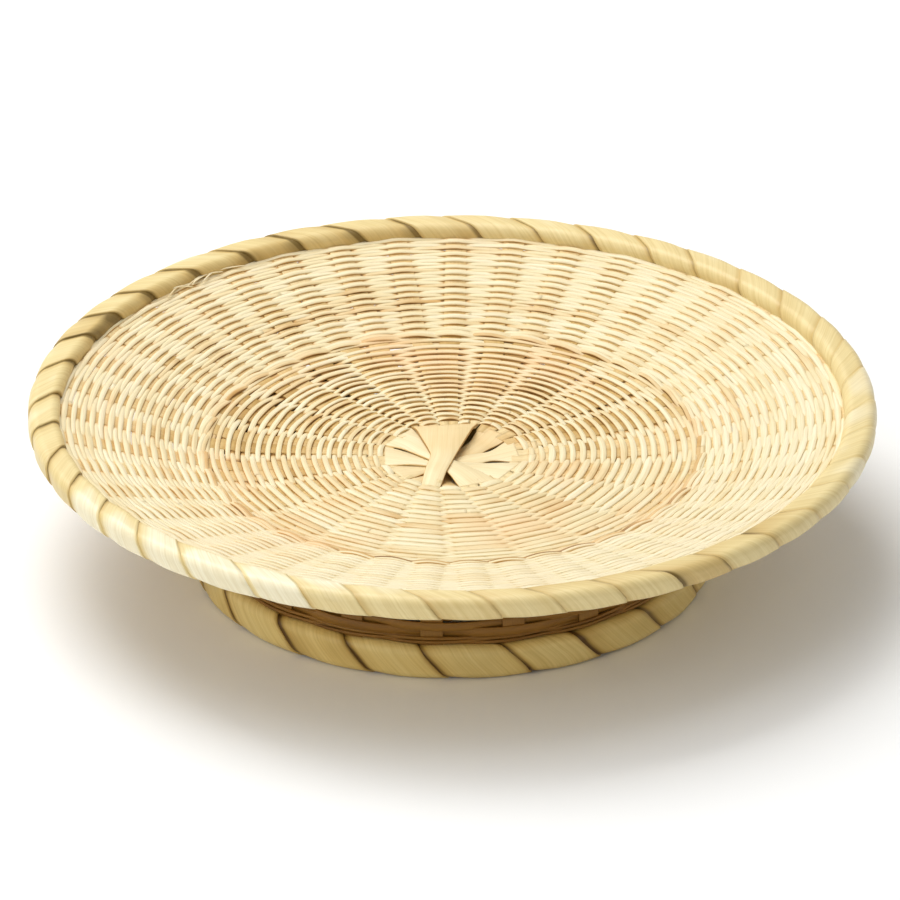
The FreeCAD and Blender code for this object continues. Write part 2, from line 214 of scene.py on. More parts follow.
class Splints:
    """Strips of bamboo gathered into one mesh, each with its grain running along it."""

    def __init__(self, rng):
        self.rng = rng
        self.points, self.faces, self.grain, self.tone = [], [], [], []
        self.count = 0

    def add(self, rows, along, across, tone, closed=True):
        """rows is a grid of points: one row for each step along the strip."""
        n, m = rows.shape[:2]
        shift = self.rng.uniform(0, 1000)
        tone = np.asarray(tone, float)
        tone = np.broadcast_to(tone[:, None] if tone.ndim == 1 else tone, (n, m))
        grain = np.zeros((n, m, 3))
        grain[..., 0] = along[:, None] + shift
        grain[..., 1] = across[None, :] if across.ndim == 1 else across
        grain[..., 2] = shift
        self.points.append(rows.reshape(-1, 3))
        self.grain.append(grain.reshape(-1, 3))
        self.tone.append(tone.reshape(-1))
        i = np.arange(n - 1)[:, None] * m + self.count
        j = np.arange(m if closed else m - 1)[None, :]
        k = (j + 1) % m
        quads = np.stack([i + j, i + k, i + m + k, i + m + j], -1).reshape(-1, 4)
        self.faces.extend(quads.tolist())
        if closed:
            self.faces.append(list(range(self.count, self.count + m))[::-1])
            self.faces.append(list(range(self.count + (n - 1) * m, self.count + n * m)))
        self.count += n * m

    def sweep(self, centre, side, normal, half_w, half_t, tone, section=ROUND, edge_shade=0.0):
        """A strip of that section along a line of centres, with painted shade darkening its edges by the
        given tone.
        """
        half_w = np.broadcast_to(np.asarray(half_w, float), (len(centre),))
        half_t = np.broadcast_to(np.asarray(half_t, float), (len(centre),))
        w = half_w[:, None] * section[None, :, 0]
        t = half_t[:, None] * section[None, :, 1]
        rows = centre[:, None, :] + side[:, None, :] * w[..., None] + normal[:, None, :] * t[..., None]
        steps = np.linalg.norm(np.diff(centre, axis=0), axis=1)
        tone = np.broadcast_to(np.asarray(tone, float), (len(centre),))
        edge_shade = np.broadcast_to(np.asarray(edge_shade, float), (len(centre),))
        # Painted shade: the outer edges of the section are darkened, where the strip meets its neighbours
        tone = tone[:, None] + edge_shade[:, None] * smooth(abs(section[:, 0]), *EDGE_SHADE_PART)[None, :]
        self.add(rows, np.concatenate(([0.0], np.cumsum(steps))), w + t, tone)

    def build(self, name, material, nodes):
        """One piece of all the strips, in place of those CAD nodes."""
        mesh = bpy.data.meshes.new(name)
        mesh.from_pydata((np.concatenate(self.points) * MM).tolist(), [], self.faces)
        grain = mesh.attributes.new("grain", "FLOAT_VECTOR", "POINT")
        grain.data.foreach_set("vector", np.concatenate(self.grain).astype(np.float32).ravel())
        tone = mesh.attributes.new("tone", "FLOAT", "POINT")
        tone.data.foreach_set("value", np.concatenate(self.tone).astype(np.float32))
        mesh.polygons.foreach_set("use_smooth", [True] * len(mesh.polygons))
        shape = bmesh.new()
        shape.from_mesh(mesh)
        bmesh.ops.recalc_face_normals(shape, faces=shape.faces)
        shape.to_mesh(mesh)
        shape.free()
        mesh.materials.append(material)
        piece = bpy.data.objects.new(name, mesh)
        bpy.context.scene.collection.objects.link(piece)
        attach(piece, "root")
        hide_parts(*nodes)


# Materials


class Nodes:
    """Short ways to add shader nodes to a material."""

    def __init__(self, name):
        self.material = bpy.data.materials.new(name)
        self.material.use_nodes = True
        self.tree = self.material.node_tree
        self.shader = self.tree.nodes["Principled BSDF"]

    def new(self, kind, **values):
        node = self.tree.nodes.new(kind)
        for key, value in values.items():
            setattr(node, key, value)
        return node

    def link(self, source, target):
        self.tree.links.new(source, target)

    def attribute(self, name, output):
        return self.new("ShaderNodeAttribute", attribute_name=name).outputs[output]

    def noise(self, vector, scale, detail=3.0, stretch=(1, 1, 1), roughness=0.55):
        mapping = self.new("ShaderNodeMapping")
        mapping.inputs["Scale"].default_value = stretch
        self.link(vector, mapping.inputs["Vector"])
        noise = self.new("ShaderNodeTexNoise")
        noise.inputs["Scale"].default_value = scale
        noise.inputs["Detail"].default_value = detail
        noise.inputs["Roughness"].default_value = roughness
        self.link(mapping.outputs["Vector"], noise.inputs["Vector"])
        return noise.outputs["Fac"]

    def ramp(self, factor, stops):
        ramp = self.new("ShaderNodeValToRGB")
        while len(ramp.color_ramp.elements) < len(stops):
            ramp.color_ramp.elements.new(0.5)
        for element, (place, colour) in zip(ramp.color_ramp.elements, stops):
            element.position = place
            element.color = (*colour, 1.0) if len(colour) == 3 else colour
        self.link(factor, ramp.inputs["Fac"])
        return ramp.outputs["Color"]

    def math(self, operation, a, b):
        node = self.new("ShaderNodeMath", operation=operation)
        for socket, value in zip(node.inputs, (a, b)):
            if isinstance(value, (int, float)):
                socket.default_value = value
            else:
                self.link(value, socket)
        return node.outputs["Value"]

    def mix(self, blend, factor, a, b):
        node = self.new("ShaderNodeMix", data_type="RGBA", blend_type=blend)
        sockets = [node.inputs[key] for key in ("Factor", "A", "B")]
        for socket, value in zip(sockets, (factor, a, b)):
            if isinstance(value, tuple):
                socket.default_value = (*value, 1.0)
            elif isinstance(value, (int, float)):
                socket.default_value = value
            else:
                self.link(value, socket)
        return node.outputs["Result"]


def bamboo(name, tones, streak, stain, stain_share, roughness, relief, fibre=2.2):
    """Split bamboo: a tone for each splint, fine fibres along it, and soft stains over the whole weave."""
    n = Nodes(name)
    grain = n.attribute("grain", "Vector")
    tone = n.attribute("tone", "Fac")
    place = n.new("ShaderNodeTexCoord").outputs["Object"]
    fibres = n.noise(grain, 1.0, 4.0, (0.035, fibre, 1.0), 0.6)
    wide_fibres = n.noise(grain, 1.0, 2.0, (0.012, fibre * 0.3, 1.0), 0.5)
    along = n.noise(grain, 1.0, 2.0, (0.06, 0.02, 1.0), 0.5)
    shade = n.math("ADD", tone, n.math("MULTIPLY", n.math("SUBTRACT", along, 0.5), 0.7))
    colour = n.ramp(shade, tones)
    dark_line = (1 - streak, 1 - streak * 1.25, 1 - streak * 1.9)
    lines = n.ramp(fibres, [(0.30, dark_line), (0.62, (1.0, 1.0, 1.0))])
    colour = n.mix("MULTIPLY", 1.0, colour, lines)
    bands = n.ramp(wide_fibres, [(0.35, (0.95, 0.92, 0.86)), (0.65, (1.0, 1.0, 1.0))])
    colour = n.mix("MULTIPLY", 0.8, colour, bands)
    cloud = n.noise(place, 22.0, 3.0)
    share = n.ramp(cloud, [(0.50, (0.0, 0.0, 0.0)), (0.72, (stain_share, stain_share, stain_share))])
    colour = n.mix("MIX", share, colour, stain)
    n.link(colour, n.shader.inputs["Base Color"])
    gloss = n.math("ADD", n.math("MULTIPLY", fibres, 0.25), roughness - 0.12)
    n.link(gloss, n.shader.inputs["Roughness"])
    n.shader.inputs["Specular IOR Level"].default_value = 0.38
    bumps = n.new("ShaderNodeBump")
    bumps.inputs["Strength"].default_value = relief
    bumps.inputs["Distance"].default_value = 0.18 * MM
    height = n.math("ADD", n.math("MULTIPLY", wide_fibres, 0.8), fibres)
    n.link(height, bumps.inputs["Height"])
    n.link(bumps.outputs["Normal"], n.shader.inputs["Normal"])
    return n.material


WEFT_TONES = [
    (0.00, (0.90, 0.81, 0.58)),
    (0.30, (0.87, 0.76, 0.49)),
    (0.55, (0.82, 0.65, 0.37)),
    (0.80, (0.66, 0.40, 0.14)),
    (1.00, (0.28, 0.14, 0.03)),
]
STAKE_TONES = [
    (0.00, (0.84, 0.68, 0.38)),
    (0.40, (0.78, 0.58, 0.28)),
    (0.72, (0.62, 0.41, 0.14)),
    (1.00, (0.38, 0.21, 0.05)),
]
HUB_TONES = [
    (0.00, (0.89, 0.77, 0.49)),
    (0.50, (0.86, 0.69, 0.39)),
    (0.90, (0.80, 0.56, 0.25)),
    (1.00, (0.45, 0.25, 0.07)),
]
WRAP_TONES = [
    (0.00, (0.93, 0.86, 0.63)),
    (0.20, (0.83, 0.69, 0.36)),
    (0.40, (0.80, 0.65, 0.32)),
    (0.72, (0.66, 0.48, 0.19)),
    (1.00, (0.20, 0.13, 0.03)),
]
FOOT_WRAP_TONES = [
    (0.00, (0.90, 0.73, 0.32)),
    (0.45, (0.82, 0.62, 0.23)),
    (0.75, (0.58, 0.38, 0.10)),
    (1.00, (0.12, 0.06, 0.01)),
]
# Painted shade: the foot's stakes, courses and twined rows stand in the rim's shadow, so their ramp runs
# dark brown
FOOT_WEFT_SHADED_TONES = [
    (0.00, (0.36, 0.18, 0.028)),
    (0.45, (0.27, 0.125, 0.015)),
    (0.75, (0.17, 0.075, 0.008)),
    (1.00, (0.10, 0.04, 0.005)),
]

wall_material = bamboo(
    "wall_bamboo", WEFT_TONES, streak=0.16, stain=(0.84, 0.62, 0.38), stain_share=0.25, roughness=0.50,
    relief=0.5,
)
floor_material = bamboo(
    "floor_bamboo", WEFT_TONES, streak=0.16, stain=(0.84, 0.54, 0.27), stain_share=0.55, roughness=0.50,
    relief=0.5,
)
stake_material = bamboo(
    "stake_bamboo", STAKE_TONES, streak=0.14, stain=(0.70, 0.42, 0.16), stain_share=0.45, roughness=0.52,
    relief=0.4,
)
hub_material = bamboo(
    "hub_bamboo", HUB_TONES, streak=0.10, stain=(0.80, 0.56, 0.38), stain_share=0.20, roughness=0.42,
    relief=0.35, fibre=1.6,
)
wrap_material = bamboo(
    "wrap_bamboo", WRAP_TONES, streak=0.13, stain=(0.66, 0.47, 0.20), stain_share=0.22, roughness=0.40,
    relief=0.45, fibre=1.3,
)
foot_wrap_material = bamboo(
    "foot_wrap_bamboo", FOOT_WRAP_TONES, streak=0.15, stain=(0.54, 0.38, 0.12), stain_share=0.35,
    roughness=0.42, relief=0.5, fibre=1.3,
)
# Painted shade: dark tones for the foot's splints under the rim
foot_weft_shaded_material = bamboo(
    "foot_weft_shaded_bamboo", FOOT_WEFT_SHADED_TONES, streak=0.18, stain=(0.36, 0.17, 0.03), stain_share=0.40,
    roughness=0.5, relief=0.5,
)
hoop_material = bamboo(
    "hoop_bamboo", STAKE_TONES, streak=0.14, stain=(0.60, 0.40, 0.18), stain_share=0.3, roughness=0.5,
    relief=0.4,
)


# Stakes and strips


def first_stake(tine):
    """How many wall stakes come before a floor tine."""
    return 2 * tine - (1 if tine > UNSPLIT_TINE else 0)


def tine_stakes(tine):
    """The angles of the wall stakes that a floor tine splits into."""
    number = 1 if tine == UNSPLIT_TINE else 2
    return [FIRST_STAKE_DEG + WALL_STEP * (first_stake(tine) + i + 0.5) for i in range(number)]


def hub_place(tine):
    """The angle of a tine where it leaves the hub, and the angle that it takes up there."""
    for ends in STRIP_ENDS:
        for first, number, low, high in ends:
            if first <= tine < first + number:
                step = (high - low) / number
                return low + (tine - first + 0.5) * step, step


TINE_DEG = np.array([np.mean(tine_stakes(tine)) for tine in range(FLOOR_TINES)])
HUB_DEG = np.array([hub_place(tine)[0] for tine in range(FLOOR_TINES)])
TINE_GAP = 0.8
# The radii between which a strip comes down from its level in the stack
STACK_SLOPE = (15.0, 25.5)
FLOOR_GIVE = 0.16
WALL_GIVE = 0.18
# How far a tine lies below the tray's mid surface
TINE_SINK = 0.02


def lean(radius):
    """How much of a tine's turn away from its place on the wall is left at a radius: all at the hub."""
    radius = np.clip(radius, HUB_R, FORK_R)
    return HUB_R / radius * (FORK_R - radius) / (FORK_R - HUB_R)


# How many times the turned place of a tine is worked out from the last guess
COUNT_PASSES = 6


def floor_count(degrees, radius):
    """The running count of floor tines at a place, which is whole at the middle of each tine."""
    turns = np.floor((degrees - TINE_DEG[0] + 180.0 / FLOOR_TINES) / 360.0)
    rest = degrees - 360.0 * turns
    places = np.append(TINE_DEG, TINE_DEG[0] + 360.0)
    turned = np.append(HUB_DEG, HUB_DEG[0] + 360.0) - places
    count = rest
    for _ in range(COUNT_PASSES):
        count = rest - np.interp(count, places, turned) * lean(radius)
    slope = FLOOR_TINES / 360.0
    whole = np.interp(count, places, np.arange(FLOOR_TINES + 1))
    return turns * FLOOR_TINES + np.where(count < places[0], (count - places[0]) * slope, whole)


def wall_count(degrees, _):
    """The running count of wall stakes at a place: they run straight out, so its radius isn't needed."""
    return (degrees - FIRST_STAKE_DEG) / WALL_STEP - 0.5


def tine_width(tine, radius):
    """The width of a tine, which widens evenly from the hub to the fork."""
    at_hub = math.radians(hub_place(tine)[1]) * HUB_R - TINE_GAP
    return at_hub + (2 * STAKE_W - at_hub) * (np.minimum(radius, FORK_R) - HUB_R) / (FORK_R - HUB_R)


def stack_lift(level, radius):
    """How far a strip is lifted in the stack where the strips cross."""
    return level * STACK_PITCH * (1 - smooth(radius, *STACK_SLOPE))


def stake_wave(radius, degrees, tine, stake):
    """A stake gives way a little under each course of weft, on the floor and then on the wall."""
    turn = (radius - HUB_R) / FLOOR_PITCH - (degrees - TINE_DEG[0]) / 360.0
    floor = -FLOOR_GIVE * np.cos(math.pi * (turn + tine)) * smooth(radius, HUB_R - 2, HUB_R + 3)
    turn = (radius - WALL_BANDS[0]) / WALL_PITCH - (degrees - FIRST_STAKE_DEG) / 360.0
    wall = -WALL_GIVE * np.cos(math.pi * (turn + stake))
    share = smooth(radius, WALL_BANDS[0] - 2, WALL_BANDS[0])
    return floor * (1 - smooth(radius, 84, 87)) + wall * share


def add_tine(splints, tine, level, tone):
    """One floor tine: two halves side by side, each of which becomes a wall stake, or one that is whole."""
    rng = splints.rng
    angles = tine_stakes(tine)
    radius = np.arange(TINE_START_R, STAKE_END_R, 0.45)
    middle = TINE_DEG[tine] + (HUB_DEG[tine] - TINE_DEG[tine]) * lean(radius)
    fork = smooth(radius, FORK_R - 2.0, FORKED_R)
    on_wall = smooth(radius, *CORNER_WAY)
    for number, angle in enumerate(angles):
        stake = first_stake(tine) + number
        if len(angles) == 1:
            half = np.interp(radius, [TINE_START_R, 60.0], [0.9, STAKE_W / 2])
            side = np.zeros_like(radius)
        else:
            floor_half = tine_width(tine, radius) / 4
            half = floor_half * (1 - fork) + STAKE_W / 2 * fork
            away = radius * math.sin(math.radians(WALL_STEP / 2))
            side = (floor_half * (1 - fork) + away * fork) * (-1 if number == 0 else 1)
        side = side + wander(rng, radius, 0.25, 30.0) * smooth(radius, 92, 110)
        lift = stack_lift(level, radius) + stake_wave(radius, angle, tine, stake) - TINE_SINK
        centre, _, around, normal = tray_point(radius, middle, lift, side)
        shade = tone + wander(rng, radius, 0.16, 9.0)
        # Painted shade: a tine is darker once it runs out among the courses, which lie over and beside it,
        # and less dark on the wall
        shade = shade + 0.38 * smooth(radius, 27, 40) - 0.20 * on_wall
        full = floor_full(angle) * (1 - on_wall) + wall_full(angle) * on_wall
        # Painted light: a tine is painted paler where the courses lie full, most on the near side
        shade = shade - 0.45 * full
        splints.sweep(centre, around, normal, half, STRIP_HALF_T, shade, FLAT)


def end_corners(end):
    """The two corners of one end of a strip at the hub's edge, the right one first."""
    right, left = end[2] + HUB_GAP_DEG, end[3] - HUB_GAP_DEG
    if end is STRIP_ENDS[0][0]:
        left = TOP_HEAD_LEFT_DEG
    edges = np.radians([right, left])
    return HUB_R * np.stack([np.cos(edges), np.sin(edges)], -1)


def add_crossing(splints, strip, level, tones):
    """The middle of a strip, from its head to its tail, narrow where it crosses the others."""
    head, tail = STRIP_ENDS[strip]
    crossing, waist_w, pinch = STRIP_WAY[strip]
    crossing = np.array(crossing)
    head_right, head_left = end_corners(head)
    tail_left, tail_right = end_corners(tail)
    along = (head_left + head_right) - (tail_left + tail_right)
    along /= np.linalg.norm(along)
    side = np.array([-along[1], along[0]]) * waist_w / 2
    steps = np.linspace(0, 1, 61)
    reach = np.linalg.norm((head_left + head_right) / 2 - crossing)
    share = reach / (reach + np.linalg.norm((tail_left + tail_right) / 2 - crossing))
    soft = np.hanning(11) / np.hanning(11).sum()

    def edge(start, waist, end):
        """A line from one end to the other by way of the waist, with its bend rounded off."""
        bent = [np.interp(steps, [0, share, 1], places) for places in zip(start, waist, end)]
        line = np.stack(bent, -1)
        padded = np.concatenate([2 * line[0] - line[5:0:-1], line, 2 * line[-1] - line[-2:-7:-1]])
        return np.stack([np.convolve(padded[:, i], soft, "valid") for i in (0, 1)], -1)

    left = edge(head_left, crossing + side, tail_left)
    right = edge(head_right, crossing - side, tail_right)
    flat = (left + right) / 2
    radius = np.linalg.norm(flat, axis=1)
    centre = np.column_stack([flat, FLOOR_Z + stack_lift(level, radius)])
    across = right - left
    half = np.linalg.norm(across, axis=1) / 2
    across = np.column_stack([across / (2 * half)[:, None], np.zeros(len(half))])
    pinched = 1 - np.where(steps < share, *pinch)
    half = half * (1 - pinched * np.exp(-(((radius - PINCH_R) / PINCH_LENGTH) ** 2)))
    normal = np.broadcast_to(np.array([0.0, 0.0, 1.0]), centre.shape)
    tone = np.interp(steps, [0, share * 0.75, share * 1.2, 1], [tones[0], tones[0], tones[1], tones[1]])
    # Painted shade along the strip's edges, where it lies on the strips below
    splints.sweep(centre, across, normal, half, STRIP_HALF_T, tone, FLAT, edge_shade=0.8)


def make_strips():
    """The six through strips, from the top of the stack down."""
    for strip, ends in enumerate(STRIP_ENDS):
        rng = np.random.default_rng(SEED + strip)
        level = (len(STRIP_ENDS) - 1) / 2 - strip
        hub = Splints(rng)
        add_crossing(hub, strip, level, STRIP_TONES[strip])
        hub.build(f"strip_{strip + 1}_middle", hub_material, [f"through_strip_{strip + 1}"])
        tines = Splints(rng)
        for first, number, _, _ in ends:
            for tine in range(first, first + number):
                add_tine(tines, tine, level, rng.normal(0.30, 0.08))
        tines.build(f"strip_{strip + 1}_tines", stake_material, [f"through_strip_{strip + 1}"])


# Weft


def flat_wave(count, flatness):
    """A wave that stays near 1 or -1 over a stake and changes sides quickly between stakes."""
    return np.tanh(flatness * np.cos(math.pi * count)) / math.tanh(flatness)


def floor_wave(count, radius):
    """Courses lie flat over a wide tine, change sides in the gap before the next, and calm at the forks."""
    return flat_wave(count, 1.3) * (1 - 0.6 * smooth(radius, FORK_R, FORK_R + 5.0))


def wall_wave(count, radius):
    """Courses arch over a stake and lie close together between it and the next."""
    wave = np.cos(math.pi * count)
    return np.sign(wave) * abs(wave) ** np.interp(radius, [88.0, 138.0], [1.6, 3.4])


def round_share(degrees, even, right, near):
    """A share that varies once round the tray, from an even value towards the right and the near side."""
    a = np.radians(degrees)
    return np.clip(even + right * np.cos(a) - near * np.sin(a), 0, 1)


def floor_full(degrees):
    """How wide and flat the floor's splints lie, and how far painted light pales the tines and thins the
    painted shade: most on the near side.
    """
    return round_share(degrees, even=0.28, right=0.22, near=0.85)


def wall_full(degrees):
    """How wide and flat the wall's splints lie, and how far painted light pales them and thins their
    painted shade.
    """
    return round_share(degrees, even=0.55, right=0.25, near=0.35)


def floor_loose(place, degrees, rng):
    """Courses lie less tight in the floor's far left quarter, and let dark slits show."""
    share = bump(degrees, 128.0, 34.0) * smooth(place, 48, 66) * (1 - smooth(place, 80, 86))
    return share * wander(rng, degrees, 0.70, 12.0)


# How the weft runs: its start, the pitch of its courses, their height over the mid surface, the angle
# between two of their points, and what changes round the tray
FLOOR_WEAVE = {
    "start_r": HUB_R,
    "start_deg": TINE_DEG[0],
    "pitch": FLOOR_PITCH,
    "crest": FLOOR_CREST,
    "step_deg": 1.5,
    "count": floor_count,
    "wave": floor_wave,
    "full": floor_full,
    "loose": floor_loose,
}
WALL_WEAVE = {
    "start_r": WALL_BANDS[0],
    "start_deg": FIRST_STAKE_DEG,
    "pitch": WALL_PITCH,
    "crest": WALL_CREST,
    "step_deg": 1.0,
    "count": wall_count,
    "wave": wall_wave,
    "full": wall_full,
    "loose": None,
}


def add_weft(splints, weave, low_r, high_r):
    """A running splint that goes round and round from one radius to another, over and under by turns.

    It is made of lengths, and each has a width and a tone of its own.
    """
    rng = splints.rng
    start_r, start_deg, pitch = weave["start_r"], weave["start_deg"], weave["pitch"]
    here, end = (start_deg + 360.0 * (r - start_r) / pitch for r in (low_r, high_r))
    while here < end:
        stop = min(here + rng.uniform(0.5, 1.7) * 360.0, end)
        if end - stop < SHORTEST_DEG:
            stop = end
        degrees = np.linspace(here, stop, max(12, int((stop - here) / weave["step_deg"])))
        place = start_r + (degrees - start_deg) / 360.0 * pitch
        radius = place + wander(rng, degrees, COURSE_DRIFT * pitch, 14.0)
        if weave["loose"]:
            radius = radius + weave["loose"](place, degrees, rng)
        wave = weave["wave"](weave["count"](degrees, place), place)
        full = weave["full"](degrees)
        lift = wave * weave["crest"] * (1 - 0.30 * full) * (1 + wander(rng, degrees, 0.07, 10.0))
        centre, along, _, normal = tray_point(radius, degrees, lift)
        wide = WEFT_HALF_W * (1 + rng.normal(0, 0.05) + wander(rng, degrees, 0.05, 20.0))
        wide = wide * (1 + 0.60 * full * smooth(wave, 0.0, 0.7))
        tone = rng.normal(0.29, 0.10) + wander(rng, degrees, 0.12, 16.0)
        # Painted light: the wall's courses are painted paler where they lie full, most on the near side;
        # the floor's are a little darker there
        tone = tone + np.where(place > TWINED_R, -0.20, 0.06) * full
        # Painted shade: a course is darker where it dives under a stake, in the crevice beside it, less
        # where the courses lie full
        tone = tone + 0.72 * smooth(-wave, 0.2, 0.65) * (1 - 0.6 * full)
        # Painted shade along the course's edges, in the gaps between courses, less where they lie full
        splints.sweep(centre, along, normal, wide, WEFT_HALF_T, tone, DOMED, edge_shade=0.55 * (1 - 0.7 * full))
        here = stop


def make_floor_weft():
    for band in range(4):
        splints = Splints(np.random.default_rng(SEED + 20 + band))
        add_weft(splints, FLOOR_WEAVE, FLOOR_BANDS[band], FLOOR_BANDS[band + 1])
        splints.build(f"floor_courses_{band + 1}", floor_material, [f"floor_weft_{band + 1}"])


def make_corner_weft():
    """The last of the floor's courses, two twined pairs at the corner, and the first of the wall's."""
    splints = Splints(np.random.default_rng(SEED + 30))
    add_weft(splints, FLOOR_WEAVE, FLOOR_BANDS[-1], FLOOR_END_R)
    for row, strand in ((0, 0), (0, 1), (1, 0), (1, 1)):
        degrees = np.linspace(0, 360, WALL_STAKES * 14)
        turn = math.pi * (wall_count(degrees, TWINED_R) + strand + row)
        place = TWINED_R + TWINED_PITCH * row + 0.45 * np.sin(turn)
        place = place + wander(splints.rng, degrees, 0.10, 9.0)
        centre, along, _, normal = tray_point(place, degrees, np.cos(turn) * 0.9)
        # Painted shadow line in the crease between floor and wall: the lower twined row is darker, and
        # darker still on the near side
        tone = 0.58 - 0.32 * row + wander(splints.rng, degrees, 0.10, 14.0)
        tone = tone + 0.30 * floor_full(degrees) * (1 - row)
        # Painted shade along the strands' edges
        splints.sweep(centre, along, normal, 1.0, 0.6, tone, DOMED, edge_shade=0.5)
    add_weft(splints, WALL_WEAVE, WALL_START_R, WALL_BANDS[0])
    splints.build("corner_courses", floor_material, ["corner_weft"])


FRAYED_ENDS = 9
FRAYED_R = 139.5
FRAYED_DEG = (126.0, 137.0)


def add_frayed_ends(splints):
    """A few thin splint ends that stick out from under the rim, at the far left."""
    rng = splints.rng
    way = np.linspace(0, 1, 12)
    for _ in range(FRAYED_ENDS):
        start = rng.uniform(*FRAYED_DEG)
        degrees = start + way * rng.uniform(2.5, 5.0) * rng.choice([-1, 1])
        radius = FRAYED_R - way**1.4 * rng.uniform(1.5, 4.0)
        lift = 1.5 + way * rng.uniform(0.0, 0.8)
        centre, along, _, normal = tray_point(radius, degrees, lift)
        splints.sweep(centre, along, normal, np.linspace(0.45, 0.2, 12), 0.18, rng.uniform(0.0, 0.3))


def make_wall_weft():
    """The wall's courses, the last of which runs a little way under the rim."""
    for band in range(3):
        splints = Splints(np.random.default_rng(SEED + 40 + band))
        last = band == 2
        add_weft(splints, WALL_WEAVE, WALL_BANDS[band], WALL_BANDS[band + 1] + (UNDER_RIM if last else 0.0))
        if last:
            add_frayed_ends(splints)
        splints.build(f"wall_courses_{band + 1}", wall_material, [f"wall_weft_{band + 1}"])


# Wrapping

WRAP_T = 0.8
WRAP_STEPS = 56
# The share of a turn's width that lies under the turn beside it
WRAP_TUCK = 0.16


def ring_noise(rng, place, size, turns):
    """Smooth random drift along a winding, which meets itself after all its turns."""
    knots = rng.normal(0, size, 2 * turns)
    low = np.floor(place * 2).astype(int)
    t = place * 2 - low
    t = t * t * (3 - 2 * t)
    return knots[low % (2 * turns)] * (1 - t) + knots[(low + 1) % (2 * turns)] * t


def round_section(place, half_w, half_h, corner):
    """Points and outward normals on a rectangle with rounded corners, at shares of the way round it.

    The way starts in the middle of the outer side and goes up.
    """
    flat_w, flat_h = half_w - corner, half_h - corner
    bend = math.pi / 2 * corner
    lengths = [flat_h, bend, 2 * flat_w, bend, 2 * flat_h, bend, 2 * flat_w, bend, flat_h]
    marks = np.concatenate(([0.0], np.cumsum(lengths)))
    far = (place % 1.0) * marks[-1]
    turn = np.interp(far, marks, np.repeat(np.arange(5), 2) * math.pi / 2)
    x, z = np.cos(turn), np.sin(turn)
    centre_x = flat_w * np.interp(far, marks, [1, 1, 1, -1, -1, -1, -1, 1, 1, 1])
    centre_z = flat_h * np.interp(far, marks, [0, 1, 1, 1, 1, -1, -1, -1, -1, 0])
    return centre_x + corner * x, centre_z + corner * z, x, z


def add_wrap(splints, middle_r, middle_z, half_w, half_h, corner, turns, start_deg, sway, edge, inner_shade, painted_light):
    """One flat strip wound round a ring: each turn's near edge lies over the far edge of the one before.

    sway is the share of a turn by which the strip runs slower or faster, and where round the section.
    The last three are functions of the angle round the ring: how clear the edges of the turns and their
    painted shade are, how much painted shade darkens the inner side, and how much painted light pales the
    whole strip.
    """
    rng = splints.rng
    pitch = 360.0 / turns
    state = rng.bit_generator.state

    def angle_of(place):
        """The angle round the ring of the strip's edge, which drifts in the same way each time."""
        rng.bit_generator.state = state
        drift = ring_noise(rng, place, 0.06 * pitch, turns)
        return start_deg - pitch * (place + sway[0] * np.sin(2 * math.pi * place - sway[1])) + drift

    place = np.arange(turns * WRAP_STEPS + 1) / WRAP_STEPS
    high, low = angle_of(place), angle_of(place + 1)
    tuck = WRAP_TUCK * pitch
    v = np.append(np.linspace(0, 1, 17), 1.0)
    angle = (low - tuck)[:, None] + (high - low + tuck)[:, None] * v[None, :]
    joint = (tuck / (high - low + tuck))[:, None]
    past_joint = v[None, :] - joint
    clear = edge(low)[:, None]
    under = smooth(past_joint, -0.06, 0.40)
    round_off = 1 - 0.30 * smooth(v[None, :], 0.65, 1.0)
    rise = (0.06 + 0.94 * under) * round_off
    depth = WRAP_T * 0.96 * (clear * rise + (1 - clear) * (0.72 + 0.28 * rise))
    depth = depth + ring_noise(rng, place, 0.05, turns)[:, None] * WRAP_T - 0.03
    depth[:, -1] = depth[:, -2] - 0.7 * WRAP_T * clear[:, 0]
    depth = np.clip(depth, 0.0, WRAP_T)
    x, z, out_x, out_z = round_section(place, half_w - WRAP_T, half_h - WRAP_T, corner - WRAP_T)
    radius = middle_r + x[:, None] + out_x[:, None] * depth
    height = middle_z + z[:, None] + out_z[:, None] * depth
    a = np.radians(angle)
    rows = np.stack([radius * np.cos(a), radius * np.sin(a), height], -1)
    girth = np.hypot(np.diff(radius[:, 8]), np.diff(height[:, 8]))
    along = np.concatenate(([0.0], np.cumsum(girth)))
    across = v[None, :] * np.radians(high - low)[:, None] * middle_r
    # Painted light pales the strip where that function is above zero; below zero it paints shade
    tone = 0.34 + ring_noise(rng, place, 0.13, turns)[:, None] - painted_light(low)[:, None]
    # Painted shade at each joint: darkest in the groove just past the joint and at the turn's far edge,
    # fading over the turn
    shade = 0.62 * (1 - smooth(past_joint, 0.0, 0.11)) + 0.30 * smooth(v[None, :], 0.95, 1.0)
    shade = shade + 0.26 * (1 - smooth(past_joint, 0.05, 0.45)) + 0.12 * smooth(v[None, :], 0.6, 1.0)
    # Painted shade on the inner side of the ring
    inner = smooth(-out_x, -0.2, 0.8)[:, None] * inner_shade(low)[:, None]
    splints.add(rows, along, across, tone - 0.08 + shade * clear + inner, closed=False)


def rim_edge(degrees):
    """The edges of the turns hardly show along the right side, and less on the near side."""
    return 1.0 - 0.60 * bump(degrees, 5.0, 55.0) - 0.45 * bump(degrees, 272.0, 40.0)


def rim_inner_shade(degrees):
    """Painted shade: the inner side of the rim is darker, most at the far left, where it faces away from
    the light.
    """
    return 0.05 + 0.28 * bump(degrees, 140.0, 50.0)


def rim_painted_light(degrees):
    """Painted light and shade: the rim is painted palest at the near left, where light falls on it, and
    darker at the near right.
    """
    return 0.34 * bump(degrees, 232.0, 30.0) - 0.20 * bump(degrees, 290.0, 30.0)


